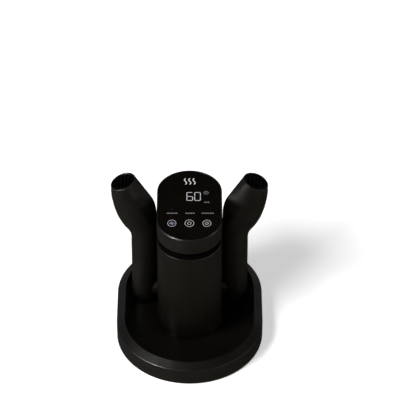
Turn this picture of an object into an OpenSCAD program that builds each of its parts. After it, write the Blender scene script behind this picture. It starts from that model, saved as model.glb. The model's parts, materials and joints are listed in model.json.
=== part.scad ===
// Boot dryer: a tray-shaped base, a fan tower with a touch panel, and two side ducts whose
// flared heads blow warm air into a pair of boots.
// Millimetres. The origin is on the floor under the middle of the base, +Z is up and the
// front, where the icons read upright, faces -Y.

/* [Base] */
// Radius of the base's two round ends, which is also half its width
base_r = 102.6; // [98:0.1:108]
// Distance from the middle of the base to the centre of each round end
base_s = 30.0; // [27:0.1:34]
// Height of the outer wall's top edge
wall_top = 26.4; // [23:0.1:28]
// Height of the lip's inner edge
lip_top = 33.4; // [30:0.1:36]
// Width of the sloping lip
lip_w = 12.4; // [9:0.1:14]
// Height of the tray floor's upper face
tray_floor = 11.5; // [10.5:0.5:13]
// Wall thickness of the base moulding
base_wall = 2.5; // [2:0.1:3]
// How far the rubber feet hold the base off the floor
foot_proud = 1.5; // [1:0.1:2.5]

/* [Tower] */
// Radius of the tower's two round ends, which is also half its width
tower_r = 45.0; // [44:0.5:47]
// Distance from the middle of the tower to the centre of each round end
tower_s = 30.0; // [28:0.5:32]
// How far the tower stands behind the middle of the base
tower_y = 19.6; // [17:0.1:22]
// Wall thickness of the tower mouldings
tower_wall = 2.5; // [2:0.1:3]
// Height of the air slot's lower edge
slot_low = 160.4; // [158:0.1:162]
// Height of the air slot's upper edge, where the cap begins
slot_high = 171.4; // [168:0.1:172]
// Height of the cap's rim
cap_top = 196.6; // [194:0.1:200]

/* [Ducts] */
// Distance of each duct's axis from the middle of the object
duct_x = 63.6; // [63.6:0.1:64.5]
// How far the ducts stand behind the middle of the base
duct_y = 36.0; // [34:0.5:38]
// Outer radius of the straight part of a duct
duct_r = 18.2; // [16:0.1:18.2]
// Wall thickness of a duct shell
duct_wall = 2.2; // [1.8:0.1:2.6]
// Height of the port through which the tower feeds each duct
port_z = 36.0; // [34:0.5:44]

/* [Fan and heater] */
// Height of the fan's lower face, on top of the heater housing
fan_z = 118.0; // [112:1:120]
// Height of the heater housing's lower face, on top of the air splitter
heater_z = 80.0; // [74:1:84]
// Blades on the fan impeller
blade_count = 7; // [5:1:9]

/* [Panel] */
// Distance between neighbouring touch icons
icon_pitch = 23.9; // [20:0.1:25]
// Where the row of touch icons lies, front to back
icon_y = -19.0; // [-22:0.5:-16]

/* [Hidden] */
$fn = 96;

shell_black = "#2a2826";
trim_black = "#161514";
gloss_black = "#0a0808";
board_green = "#1f5a35";
steel = "#b9bcc0";
white_plastic = "#d9d6cc";
heat_black = "#3a3632";

fan_side = 80;                      // side of the standard square axial fan
fan_depth = 25;                     // its depth
fan_hub_r = 18.5;                   // radius of its hub
fan_tube_r = 5.4;                   // outer radius of the tube that holds its bearing
bearing_r = 4;                      // outer radius of its sleeve bearing
shaft_r = 1.5;                      // radius of its shaft

lip_r = base_r - lip_w;             // radius of the lip's inner edge at the round ends
plate_top = foot_proud + 2.5;       // upper face of the base plate
seam_y = tower_y + tower_s;         // plane between the tower shell and the rear cover
rear_y = seam_y + tower_r;          // rearmost point of the tower
cap_floor = slot_high + tower_wall; // upper face of the cap's floor
ledge_z = cap_top - 2.4;            // ledge that carries the touch panel
recess_r = tower_r - 2.5;           // radius of the cap's recess for the panel
panel_gap = 1.0;                    // shadow gap between the panel and the cap's rim
board_z = cap_top - 10.6;           // lower face of the display board
grille_r = tower_r - 6.5;           // outer radius of the recessed intake grille
flange_r = 33.0;                    // inner radius of the tower's top flange
fan_mid = fan_side / 2;
fan_hole = 35.75;                   // half the hole pitch of an 80 mm fan
port_r = 13.0;                      // radius of the hole through a duct's port
gasket_face = tower_r + 0.9;        // face of the duct's collar, 0.9 mm off the tower
power_y = 65.2;                     // front face of the upright power board
inlet_z = 49.0;                     // height of the mains inlet
inlet_w = 27;                       // width of the inlet's flange
inlet_h = 19;                       // height of the inlet's flange
inlet_body_w = 24;                  // width of the inlet's body behind the flange
inlet_body_h = 16;                  // height of that body
pin_x = 4.3;                        // distance of each inlet pin from the middle
screw_r = 1.2;                      // shank radius of the self-tapping screws
pilot_r = 1.3;                      // radius of the holes they cut into
free_r = 1.6;                       // radius of the holes they pass through
seat_r = 3.0;                       // radius of the recesses for their heads
board_t = 1.6;                      // thickness of the circuit boards

// Where the base plate's screws go up into the tray
base_screw_spots = [for (side = [-1, 1]) for (end = [-1, 1])
    [side * 72, end * 66, 0]];
// Where the feet sit, their radius, and how deep they sit in the base plate
foot_r = 7.8;
foot_sunk = 1.2;
foot_spots = [for (side = [-1, 1]) for (end = [-1, 1])
    [side * 55, end * 92, 0]];
// Bosses that hold the tower down: two in the shell, two in the rear cover
boss_reach = 39;
tower_spots = [for (side = [-1, 1]) for (end = [-1, 1])
    [side * boss_reach * cos(45), tower_y + end * (tower_s + boss_reach * sin(45)), 0]];
// Posts that tie the cap, the intake grille and the tower's flange together
post_reach = 35.8;
post_spots = [for (side = [-1, 1]) for (end = [-1, 1])
    [side * post_reach * cos(25), tower_y + end * (tower_s + post_reach * sin(25)), 0]];
// Screw bosses in each duct's closed foot, one per half shell
duct_boss_reach = 8;

// ---------- outlines ----------

function unit(v) = v / norm(v);

// Points of one corner p between a and b, rounded with radius r in n steps
function corner(a, p, b, r, n) = r == 0 ? [p] :
    let (u = unit(a - p), w = unit(b - p), half = acos(u * w) / 2)
    let (c = p + unit(u + w) * r / sin(half))
    let (s = p + u * r / tan(half) - c, e = p + w * r / tan(half) - c)
    let (from = atan2(s.y, s.x), turn = (atan2(e.y, e.x) - from + 540) % 360 - 180)
    [for (i = [0 : n]) c + r * [cos(from + turn * i / n), sin(from + turn * i / n)]];

function flat2(p) = [p[0], p[1]];

// Closed outline through [x, y, radius] corners
function rounded(corners, n = 5) = let (m = len(corners))
    [for (i = [0 : m - 1]) each corner(flat2(corners[(i + m - 1) % m]), flat2(corners[i]),
        flat2(corners[(i + 1) % m]), corners[i][2], n)];

// Stadium: two half circles of radius r whose centres lie s in front and behind
module stadium(r, s) {
    for (end = [0, 1])
        mirror([0, end])
            translate([0, s])
                intersection() {
                    circle(r);
                    translate([-r - 1, 0])
                        square([2 * r + 2, r + 1]);
                }
    square([2 * r, 2 * s], center = true);
}

module slab(r, s, low, high) {
    translate([0, 0, low])
        linear_extrude(high - low)
            stadium(r, s);
}

// Sweeps a section round a stadium. The section's x is its distance from the ends' centres
module stadium_sweep(s) {
    for (end = [0, 1])
        mirror([0, end, 0])
            translate([0, s, 0])
                rotate_extrude(angle = 180)
                    children();
    for (side = [0, 1])
        mirror([side, 0, 0])
            translate([0, s, 0])
                rotate([90, 0, 0])
                    linear_extrude(2 * s)
                        children();
}

module at_tower() {
    translate([0, tower_y, 0])
        children();
}

module at_spots(spots) {
    for (spot = spots)
        translate(spot)
            children();
}

module tube(outer, inner, low, high) {
    translate([0, 0, low])
        difference() {
            cylinder(r = outer, h = high - low);
            translate([0, 0, -1])
                cylinder(r = inner, h = high - low + 2);
        }
}

// Pan-head screw, its head's underside at z = 0 and its shank pointing up
module screw(shank, length, head = 2.6, head_h = 1.8) {
    cylinder(r = shank, h = length);
    translate([0, 0, -head_h])
        difference() {
            cylinder(r = head, h = head_h);
            for (turn = [0, 90])
                rotate([0, 0, turn])
                    translate([0, 0, 0.5])
                        cube([head * 1.3, 0.7, 1.4], center = true);
        }
}

// ---------- base ----------

module base_tray() {
    inner_r = lip_r + base_wall;
    wall = [[base_r, foot_proud, 0], [base_r, wall_top, 2.2], [lip_r, lip_top, 0.8],
        [lip_r, tray_floor - base_wall, 0], [inner_r, tray_floor - base_wall, 0],
        [inner_r, lip_top - 4, 0], [base_r - base_wall, wall_top - 2, 0],
        [base_r - base_wall, foot_proud, 0]];
    color(shell_black)
        difference() {
            union() {
                stadium_sweep(base_s)
                    polygon(rounded(wall));
                slab(lip_r + 1, base_s, tray_floor - base_wall, tray_floor);
                at_spots(base_screw_spots)
                    tube(4, pilot_r, plate_top, tray_floor - base_wall + 1);
            }
            at_spots(tower_spots)
                screw_seat();
            for (side = [-1, 1])
                for (end = [-1, 1])
                    translate([side * duct_x, duct_y + end * duct_boss_reach, 0])
                        screw_seat();
        }
}

// Clearance hole through the tray floor with a recess for the screw's head
module screw_seat() {
    cylinder(r = free_r, h = tray_floor + 1);
    translate([0, 0, tray_floor - base_wall - 1])
        cylinder(r = seat_r, h = 1.5);
}

module base_plate() {
    color(shell_black)
        difference() {
            slab(base_r - base_wall - 0.4, base_s, foot_proud, plate_top);
            at_spots(base_screw_spots)
                cylinder(r = free_r, h = plate_top + 1);
            at_spots(base_screw_spots)
                translate([0, 0, foot_proud - 1])
                    cylinder(r = seat_r, h = 2.8);
            at_spots(foot_spots)
                translate([0, 0, foot_proud - 1])
                    cylinder(r = foot_r + 0.2, h = 1 + foot_sunk);
        }
}

module rubber_feet() {
    color(trim_black)
        at_spots(foot_spots)
            rotate_extrude()
                polygon(rounded([[0, 0, 0], [foot_r, 0, 0.8],
                    [foot_r, foot_proud + foot_sunk, 0], [0, foot_proud + foot_sunk, 0]]));
}

module base_screws() {
    color(steel)
        at_spots(base_screw_spots)
            translate([0, 0, foot_proud + 1.8])
                screw(screw_r, 5.5, head_h = 1.4);
}

// ---------- tower ----------

// Wall and top flange, as one ring right round the tower
module tower_ring() {
    section = [[tower_r, tray_floor, 0], [tower_r, slot_low, 2.4], [flange_r, slot_low, 0],
        [flange_r, slot_low - tower_wall, 0],
        [tower_r - tower_wall, slot_low - tower_wall, 0],
        [tower_r - tower_wall, tray_floor, 0]];
    at_tower()
        stadium_sweep(tower_s)
            polygon(rounded(section));
}

// Keeps what lies in front of the seam (part = -1) or behind it (part = 1)
module seam_side(part) {
    intersection() {
        children();
        translate([-150, part < 0 ? seam_y - 300 : seam_y, 0])
            cube([300, 300, 300]);
    }
}

module post_holes() {
    at_spots(post_spots)
        translate([0, 0, slot_low - 5])
            cylinder(r = free_r, h = 10);
}

module tower_shell() {
    color(shell_black)
        difference() {
            union() {
                seam_side(-1)
                    tower_ring();
                for (spot = tower_spots)
                    if (spot.y < tower_y)
                        translate(spot)
                            hold_down_boss();
            }
            hold_down_pilots();
            translate([-60, duct_y, port_z])
                rotate([0, 90, 0])
                    cylinder(r = port_r, h = 120);
            post_holes();
        }
}

module hold_down_boss() {
    translate([0, 0, tray_floor])
        cylinder(r = 4.5, h = 14);
}

module hold_down_pilots() {
    at_spots(tower_spots)
        translate([0, 0, tray_floor - 1])
            cylinder(r = pilot_r, h = 13);
}

module rear_cover() {
    color(shell_black)
        difference() {
            union() {
                seam_side(1)
                    tower_ring();
                for (spot = tower_spots)
                    if (spot.y > tower_y)
                        translate(spot)
                            hold_down_boss();
                at_board_holes(power_y + board_t)
                    cylinder(r = 3, h = 15.5);
            }
            hold_down_pilots();
            inlet_block(inlet_body_w, inlet_body_h, rear_y - 12, 20, 0.2);
            inlet_block(inlet_w, inlet_h, rear_y - 2.6, 20, 0.2);
            post_holes();
        }
}

// Points along +Y from each of the power board's four fixing holes
module at_board_holes(y) {
    for (side = [-1, 1])
        for (high = [66, 124])
            translate([side * 27, y, high])
                rotate([-90, 0, 0])
                    children();
}

// Block round the mains inlet's axis, grown by a clearance
module inlet_block(wide, high, from_y, deep, clearance) {
    translate([-wide / 2 - clearance, from_y, inlet_z - high / 2 - clearance])
        cube([wide + 2 * clearance, deep, high + 2 * clearance]);
}

module tower_screws() {
    color(steel)
        at_spots(tower_spots)
            translate([0, 0, tray_floor - base_wall + 0.5])
                screw(screw_r, 12);
}

module intake_grille() {
    rib_depth = grille_r - flange_r - 1;
    ring_h = 1.8;
    end_ribs = 27;
    side_ribs = 14;
    color(trim_black)
        at_tower()
            difference() {
                union() {
                    for (low = [slot_low, slot_high - ring_h])
                        stadium_sweep(tower_s)
                            translate([flange_r, low])
                                square([grille_r - flange_r, ring_h]);
                    for (side = [-1, 1])
                        for (i = [0 : side_ribs])
                            translate([side * (flange_r + rib_depth / 2 + 0.5),
                                tower_s * (2 * i / side_ribs - 1), 0])
                                rib(rib_depth);
                    for (end = [-1, 1])
                        for (i = [1 : end_ribs - 1])
                            translate([0, end * tower_s, 0])
                                rotate([0, 0, end * 180 * i / end_ribs])
                                    translate([flange_r + rib_depth / 2 + 0.5, 0, 0])
                                        rib(rib_depth);
                    translate([0, -tower_y, 0])
                        at_spots(post_spots)
                            translate([0, 0, slot_low])
                                cylinder(r = 2.6, h = slot_high - slot_low);
                }
                translate([0, -tower_y, 0])
                    at_spots(post_spots)
                        translate([0, 0, slot_low - 1])
                            cylinder(r = free_r, h = 20);
            }
}

module rib(depth) {
    translate([-depth / 2, -0.8, slot_low + 1])
        cube([depth, 1.6, slot_high - slot_low - 2]);
}

// ---------- cap and panel ----------

module cap_shell() {
    inner = tower_r - tower_wall;
    ledge_r = recess_r - 2.5;
    section = [[tower_r, slot_high, 1], [tower_r, cap_top, 2], [recess_r, cap_top, 0],
        [recess_r, ledge_z, 0], [ledge_r, ledge_z, 0], [ledge_r, ledge_z - 1.5, 0],
        [inner, ledge_z - 4, 0], [inner, slot_high, 0]];
    color(shell_black)
        difference() {
            union() {
                at_tower()
                    stadium_sweep(tower_s)
                        polygon(rounded(section));
                at_tower()
                    slab(inner + 1, tower_s, slot_high, cap_floor);
                at_spots(post_spots)
                    translate([0, 0, cap_floor - 1])
                        cylinder(r = 3, h = 7);
                at_spots(board_posts())
                    translate([0, 0, cap_floor - 1])
                        cylinder(r = 3, h = board_z - cap_floor + 1);
            }
            at_spots(post_spots)
                translate([0, 0, slot_high - 1])
                    cylinder(r = pilot_r, h = 8);
            translate([-8, power_y - 2, slot_high - 1])
                cube([16, 3, 5]);
        }
}

function board_posts() = [for (side = [-1, 1]) for (end = [-1, 1])
    [side * 28, tower_y + end * 34, 0]];

module cap_screws() {
    color(steel)
        at_spots(post_spots)
            translate([0, 0, slot_low - tower_wall])
                screw(screw_r, 17);
}

module touch_panel() {
    color(gloss_black)
        at_tower()
            slab(recess_r - panel_gap, tower_s, ledge_z, cap_top - 0.3);
}

module display_board() {
    color(board_green)
        at_tower()
            slab(37, tower_s, board_z, board_z + board_t);
}

// Two-digit seven-segment module under the panel
module digit_display() {
    color(trim_black)
        translate([5.6, tower_y + 17.9, board_z + 4.7])
            cube([32, 28, 6.2], center = true);
}

module indicator_leds() {
    color("#3d6cff")
        for (spot = [[-24.2, 10.5], [24, 45.5], [24, 4]])
            translate([spot.x, spot.y, board_z + 2.6])
                cube([3.5, 2.8, 2], center = true);
}

module touch_pads() {
    color("#55585c")
        for (i = [-1 : 1])
            translate([i * icon_pitch, icon_y, board_z + board_t])
                cylinder(r = 5, h = ledge_z - board_z - board_t);
}

module buzzer() {
    color(trim_black)
        translate([0, -8, board_z - 9])
            difference() {
                cylinder(r = 6, h = 9);
                translate([0, 0, -1])
                    cylinder(r = 1.2, h = 3);
            }
}

// ---------- fan ----------

module at_fan() {
    translate([0, tower_y, fan_z])
        children();
}

module fan_corners() {
    for (x = [-1, 1])
        for (y = [-1, 1])
            translate([x * fan_hole, y * fan_hole, 0])
                children();
}

module fan_frame() {
    bore = 38;
    color(trim_black)
        at_fan() {
            difference() {
                translate([-fan_mid, -fan_mid, 0])
                    cube([fan_side, fan_side, fan_depth]);
                translate([0, 0, -1])
                    cylinder(r = bore, h = fan_depth + 2);
                fan_corners()
                    translate([0, 0, -1])
                        cylinder(r = 2.15, h = fan_depth + 2);
            }
            difference() {
                union() {
                    for (turn = [45 : 90 : 315])
                        rotate([0, 0, turn])
                            translate([10, -1.6, 0])
                                cube([bore - 8.5, 3.2, 2.4]);
                    cylinder(r = fan_hub_r, h = 2.8);
                    cylinder(r = fan_tube_r, h = 17.5);
                }
                translate([0, 0, -1])
                    cylinder(r = bearing_r, h = 20);
            }
        }
}

module fan_bearing() {
    color("#a8854a")
        at_fan()
            tube(bearing_r, shaft_r + 0.05, 1, 17);
}

// Laminated four-pole core with its coils
module fan_stator() {
    color("#9a5a2a")
        at_fan()
            difference() {
                union() {
                    translate([0, 0, 7])
                        cylinder(r = 8, h = 9);
                    for (turn = [0 : 90 : 270])
                        rotate([0, 0, turn])
                            translate([6, -3.2, 7])
                                cube([6.5, 6.4, 9]);
                    intersection() {
                        tube(14, 12, 8, 15);
                        for (turn = [0, 90])
                            rotate([0, 0, turn])
                                translate([-20, -8, 8])
                                    cube([40, 16, 7]);
                    }
                }
                translate([0, 0, 6])
                    cylinder(r = fan_tube_r, h = 12);
            }
}

module fan_impeller() {
    tip = 36.8;
    pitch = 38;
    skin = 1.4;
    color(trim_black)
        at_fan() {
            difference() {
                translate([0, 0, 4])
                    cylinder(r = fan_hub_r, h = 19);
                translate([0, 0, 3])
                    cylinder(r = fan_hub_r - skin, h = 18.4);
            }
            tube(3.2, shaft_r, 18, 22);
            intersection() {
                tube(tip, fan_hub_r - skin / 2, 3, 23.5);
                for (i = [0 : blade_count - 1])
                    rotate([0, 0, i * 360 / blade_count])
                        translate([fan_hub_r + 10, 0, 13])
                            rotate([pitch, 0, 0])
                                cube([26, 27, 1.6], center = true);
            }
        }
}

module rotor_magnet() {
    color("#4b4845")
        at_fan()
            tube(17.1, 15, 6, 19);
}

module fan_shaft() {
    color(steel)
        at_fan()
            translate([0, 0, 1.5])
                cylinder(r = shaft_r, h = 19.9);
}

module fan_screws() {
    color(steel)
        at_fan()
            fan_corners()
                translate([0, 0, fan_depth])
                    mirror([0, 0, 1])
                        screw(1.7, fan_depth + 8, head = 3.4, head_h = 2);
}

// ---------- heater and air path ----------

module heater_housing() {
    inner = fan_mid - 3;
    high = fan_z - heater_z;
    color(heat_black)
        translate([0, tower_y, heater_z])
            difference() {
                union() {
                    difference() {
                        translate([-fan_mid, -fan_mid, 0])
                            cube([fan_side, fan_side, high]);
                        translate([-inner, -inner, -1])
                            cube([2 * inner, 2 * inner, high + 2]);
                    }
                    fan_corners()
                        cylinder(r = 4.1, h = high);
                }
                fan_corners()
                    translate([0, 0, high - 12])
                        cylinder(r = 1.75, h = 20);
            }
}

// Rows of the heater's bars, front to back, and the heights between which they stand
bar_rows = [-22, 0, 22];
heater_core = [heater_z + 10, heater_z + 30];
bar_w = 6;
fin_reach = 7;
fin_t = 0.8;

module heater_bars() {
    color("#9a9c9e")
        for (row = bar_rows)
            translate([-37, tower_y + row - bar_w / 2, heater_core[0]])
                cube([74, bar_w, heater_core[1] - heater_core[0]]);
}

// Fin packs, one pressed against each side of every bar
module heater_fins() {
    plates = 16;
    span = 58;
    color("#c9ccd0")
        for (row = bar_rows)
            for (side = [-1, 1])
                for (i = [0 : plates - 1])
                    translate([span * (i / (plates - 1) - 0.5) - fin_t / 2,
                        tower_y + row + side * (bar_w + fin_reach) / 2 - fin_reach / 2,
                        heater_core[0] + 1])
                        cube([fin_t, fin_reach, heater_core[1] - heater_core[0] - 2]);
}

module thermal_cutout() {
    color(white_plastic)
        translate([18, tower_y + fan_mid, heater_z + 20])
            rotate([-90, 0, 0]) {
                cylinder(r = 6.5, h = 4.5);
                translate([-11, -3.5, 0])
                    cube([22, 7, 1.2]);
            }
}

// Plenum that turns the air sideways and shares it between the two ducts
module air_splitter() {
    half = 38;
    depth = fan_side;
    low = tray_floor;
    wall = 2;
    color(heat_black)
        difference() {
            union() {
                translate([-half, tower_y - fan_mid, low])
                    cube([2 * half, depth, heater_z - low]);
                translate([-gasket_face - 1.5, duct_y, port_z])
                    rotate([0, 90, 0])
                        cylinder(r = port_r - 0.3, h = 2 * gasket_face + 3);
            }
            difference() {
                translate([-half + wall, tower_y - fan_mid + wall, low + wall])
                    cube([2 * (half - wall), depth - 2 * wall, heater_z - low]);
                translate([0, tower_y + fan_mid, low])
                    rotate([90, 0, 0])
                        linear_extrude(depth)
                            polygon([[-22, 0], [22, 0], [1.5, 46], [-1.5, 46]]);
            }
            for (side = [-1, 1])
                translate([side * (gasket_face - 2), duct_y, port_z])
                    rotate([0, 90, 0])
                        cylinder(r = port_r - 2.3, h = 20, center = true);
        }
}

// ---------- electronics ----------

module power_board() {
    color(board_green)
        difference() {
            translate([-32, power_y, 60])
                cube([64, board_t, 70]);
            at_board_holes(power_y - 1)
                cylinder(r = free_r, h = board_t + 2);
        }
}

module on_power_board(x, z, size) {
    translate([x - size.x / 2, power_y + board_t, z - size.z / 2])
        cube(size);
}

module power_transformer() {
    color("#c8a23c") {
        on_power_board(2, 108, [17, 15, 17]);
        on_power_board(2, 108, [20, 3, 20]);
    }
}

module power_relay() {
    color("#2c4f9e")
        on_power_board(-14, 84, [12, 15, 19]);
}

module filter_capacitor() {
    color("#1d1f24")
        translate([12, power_y + board_t, 84])
            rotate([-90, 0, 0])
                cylinder(r = 6.3, h = 17);
}

module mains_inlet() {
    color(trim_black)
        difference() {
            union() {
                inlet_block(inlet_w, inlet_h, rear_y - 2.6, 3, 0);
                inlet_block(inlet_body_w, inlet_body_h, rear_y - 20, 18, 0);
            }
            translate([0, rear_y - 13, inlet_z])
                rotate([-90, 0, 0])
                    linear_extrude(20)
                        rotate([0, 0, 90])
                            stadium(4.4, 4.0);
        }
}

module inlet_pins() {
    color(steel)
        for (side = [-1, 1])
            translate([side * pin_x, rear_y - 24, inlet_z])
                rotate([-90, 0, 0]) {
                    translate([0, 0, 11])
                        cylinder(r = 1.2, h = 10);
                    cylinder(r = 0.9, h = 4);
                }
}

module mains_leads() {
    lead = 1.4;
    turn_y = rear_y - 26.5;
    color("#6a4a36")
        for (side = [-1, 1])
            translate([side * pin_x, 0, 0])
                difference() {
                    union() {
                        translate([0, turn_y, inlet_z])
                            rotate([-90, 0, 0])
                                cylinder(r = lead, h = 6.4);
                        translate([0, turn_y, inlet_z])
                            sphere(r = lead);
                        translate([0, turn_y, inlet_z])
                            cylinder(r = lead, h = 11);
                    }
                    translate([0, rear_y - 24, inlet_z])
                        rotate([-90, 0, 0])
                            cylinder(r = 0.95, h = 8);
                }
}

module display_ribbon() {
    color("#8f9296")
        translate([-6, power_y - 1.5, 124])
            cube([12, 0.8, board_z - 4 - 124]);
}

module ribbon_headers() {
    color(white_plastic) {
        translate([-7, power_y - 2.6, 118])
            cube([14, 2.6, 6]);
        translate([-7, power_y - 2.6, board_z - 4])
            cube([14, 3, 4]);
    }
}

// ---------- ducts ----------

// Cross-sections of a duct's bent, flared head, from the straight part up to the mouth:
// [inner edge x, its height, outer edge x, its height, half depth, flatness of the facets
// between the crease and the inner edge, angle of the crease from the outer edge]
head_start = 118;
mouth_r = 18;
mouth_tilt = 20;
mouth_x = 91.5;
mouth_z = 225;
mouth_in = [mouth_x - mouth_r * cos(mouth_tilt), mouth_z + mouth_r * sin(mouth_tilt)];
mouth_out = [mouth_x + mouth_r * cos(mouth_tilt), mouth_z - mouth_r * sin(mouth_tilt)];
root_r = duct_r - 0.06; // the head's root sits just inside the straight part's wall
stations = [
    [duct_x - root_r, head_start - 16, duct_x + root_r, head_start - 16, root_r, 0, 150],
    [duct_x - root_r, head_start - 2, duct_x + root_r, head_start - 2, root_r, 0, 150],
    [45.3, 131, 81.9, 129, 18.2, 0, 150],
    [45.2, 146, 85, 140, 18.4, 0.35, 142],
    [45.2, 161, 92.8, 151, 18.7, 0.75, 129],
    [45.5, 176, 99.6, 164.5, 19, 0.9, 116],
    [49, 191.5, 104.2, 180, 19.2, 0.85, 107],
    [56.8, 205, 106.9, 194, 19.2, 0.6, 104],
    [65.6, 218, 108.2, 206, 18.7, 0.25, 104],
    [mouth_in.x, mouth_in.y, mouth_out.x, mouth_out.y, mouth_r, 0, 104],
    [mouth_in.x + 5, mouth_in.y + 12, mouth_out.x + 4, mouth_out.y + 12, mouth_r, 0, 104]
];
steps = 3;
arc_sides = 20;

// Smooth curve through the stations: t runs from 1 to len(stations) - 2
function station(t) = let (i = min(floor(t), len(stations) - 3), u = t - i)
    let (a = stations[i - 1], b = stations[i], c = stations[i + 1], d = stations[i + 2])
    0.5 * (2 * b + (c - a) * u + (2 * a - 5 * b + 4 * c - d) * u * u
        + (3 * b - a - 3 * c + d) * u * u * u);

// Point at an angle round a unit circle whose arc from the crease to 180 degrees is flattened
// towards its chord. Negative angles give the mirror image
function creased(angle, flat, crease) =
    let (round = [cos(angle), sin(angle)], reach = (abs(angle) - crease) / (180 - crease))
    reach <= 0 ? round :
    let (start = [cos(crease), sign(angle) * sin(crease)])
    let (chord = start + ([-1, 0] - start) * reach)
    round + (chord - round) * flat;

// Point of section s at an angle, moved inwards by the wall
function section_point(s, angle, inwards) =
    let (middle = [(s[0] + s[2]) / 2, (s[1] + s[3]) / 2])
    let (across = [s[2] - s[0], s[3] - s[1]] / 2, reach = norm(across))
    let (way = creased(angle, s[5], s[6]))
    let (along = across * (reach - inwards) / reach * way.x)
    [middle.x + along.x, duct_y + (s[4] - inwards) * way.y, middle.y + along.y];

// One half of the head's shell, front (part = -1) or rear (part = 1)
module head_half(part) {
    rings = [for (i = [0 : steps * (len(stations) - 3)]) station(1 + i / steps)];
    side = arc_sides + 1;
    per_ring = 2 * side;
    points = [for (s = rings) each concat(
        [for (k = [0 : arc_sides]) section_point(s, part * 180 * k / arc_sides, 0)],
        [for (k = [arc_sides : -1 : 0])
            section_point(s, part * 180 * k / arc_sides, duct_wall)])];
    last = len(rings) - 1;
    walls = [for (i = [0 : last - 1]) for (k = [0 : per_ring - 1])
        let (a = i * per_ring + k, b = i * per_ring + (k + 1) % per_ring)
        each [[a, b, b + per_ring], [a, b + per_ring, a + per_ring]]];
    strips = [for (k = [0 : arc_sides - 1]) let (far = per_ring - 1 - k)
        each [[k, far, far - 1], [k, far - 1, k + 1]]];
    top = last * per_ring;
    caps = concat(strips, [for (f = strips) [f[2] + top, f[1] + top, f[0] + top]]);
    faces = concat(walls, caps);
    polyhedron(points, part < 0 ? faces : [for (f = faces) [f[2], f[1], f[0]]]);
}

// Straight part of one half, with its closed foot, screw boss, half of the port's collar and
// half of the seat for its gasket
module straight_half(part) {
    inner = duct_r - duct_wall;
    foot_in = [[0, tray_floor + 2.5, 0], [inner, tray_floor + 2.5, 1],
        [inner, head_start + 2, 0], [0, head_start + 2, 0]];
    outside = [[0, tray_floor, 0], [duct_r, tray_floor, 3], [duct_r, head_start, 0],
        [0, head_start, 0]];
    difference() {
        intersection() {
            union() {
                translate([duct_x, duct_y, 0])
                    rotate_extrude()
                        polygon(rounded(outside));
                translate([gasket_face, duct_y, port_z])
                    rotate([0, 90, 0])
                        cylinder(r = port_r + 2.5, h = 12);
            }
            translate([0, part < 0 ? duct_y - 100 : duct_y, 0])
                cube([200, 100, 200]);
        }
        difference() {
            translate([duct_x, duct_y, 0])
                rotate_extrude()
                    polygon(rounded(foot_in));
            translate([duct_x, duct_y + part * duct_boss_reach, 0])
                cylinder(r = 3.6, h = tray_floor + 10);
        }
        translate([duct_x, duct_y + part * duct_boss_reach, tray_floor - 1])
            cylinder(r = pilot_r, h = 9.5);
        translate([gasket_face - 1, duct_y, port_z])
            rotate([0, 90, 0])
                cylinder(r = port_r, h = 16);
        translate([gasket_face - 1, duct_y, port_z])
            rotate([0, 90, 0])
                cylinder(r = port_r + 2.7, h = 1);
    }
}

module duct_half(part) {
    straight_half(part);
    head_half(part);
}

module left() {
    mirror([1, 0, 0])
        children();
}

module left_duct_front() {
    color(shell_black)
        left()
            duct_half(-1);
}

module left_duct_rear() {
    color(shell_black)
        left()
            duct_half(1);
}

module right_duct_front() {
    color(shell_black)
        duct_half(-1);
}

module right_duct_rear() {
    color(shell_black)
        duct_half(1);
}

// Domed, slotted outlet that sits in a duct's mouth
module nozzle_grille() {
    seat_r = mouth_r - duct_wall - 0.3;
    dome_r = 34;
    rise = dome_r - sqrt(dome_r * dome_r - seat_r * seat_r);
    color(trim_black)
        translate([mouth_x, duct_y, mouth_z])
            rotate([0, mouth_tilt, 0])
                translate([0, 0, -4])
                    difference() {
                        intersection() {
                            difference() {
                                translate([0, 0, 1.5 + rise - dome_r])
                                    sphere(r = dome_r);
                                translate([0, 0, 1.5 + rise - dome_r])
                                    sphere(r = dome_r - 2);
                            }
                            cylinder(r = seat_r, h = 20);
                        }
                        for (i = [-2 : 2])
                            translate([i * 5.2, 0, 0])
                                cube([2.8, 2 * sqrt(pow(seat_r - 3, 2) - pow(i * 5.2, 2)), 20],
                                    center = true);
                    }
}

module left_nozzle_grille() {
    left()
        nozzle_grille();
}

module right_nozzle_grille() {
    nozzle_grille();
}

module duct_gaskets() {
    color("#4a4845")
        for (side = [0, 1])
            mirror([side, 0, 0])
                translate([tower_r, duct_y, port_z])
                    rotate([0, 90, 0])
                        tube(port_r + 2.5, port_r, 0, gasket_face - tower_r);
}

module duct_screws() {
    color(steel)
        for (side = [-1, 1])
            for (end = [-1, 1])
                translate([side * duct_x, duct_y + end * duct_boss_reach,
                    tray_floor - base_wall + 0.5])
                    screw(screw_r, 9);
}

base_tray();
base_plate();
rubber_feet();
base_screws();
tower_shell();
rear_cover();
tower_screws();
intake_grille();
cap_shell();
cap_screws();
touch_panel();
display_board();
digit_display();
indicator_leds();
touch_pads();
buzzer();
fan_frame();
fan_bearing();
fan_stator();
fan_impeller();
rotor_magnet();
fan_shaft();
fan_screws();
heater_housing();
heater_bars();
heater_fins();
thermal_cutout();
air_splitter();
power_board();
power_transformer();
power_relay();
filter_capacitor();
mains_inlet();
inlet_pins();
mains_leads();
display_ribbon();
ribbon_headers();
left_duct_front();
left_duct_rear();
right_duct_front();
right_duct_rear();
left_nozzle_grille();
right_nozzle_grille();
duct_gaskets();
duct_screws();
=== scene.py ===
"""The looks of the boot dryer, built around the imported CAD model.

Lengths inside the shape functions are millimetres in the CAD model's own frame: the origin on the
floor under the middle of the base, +Z up, and the front towards -Y.
"""

import json
import math

import bmesh
import bpy
from mathutils import Matrix, Vector


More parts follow.
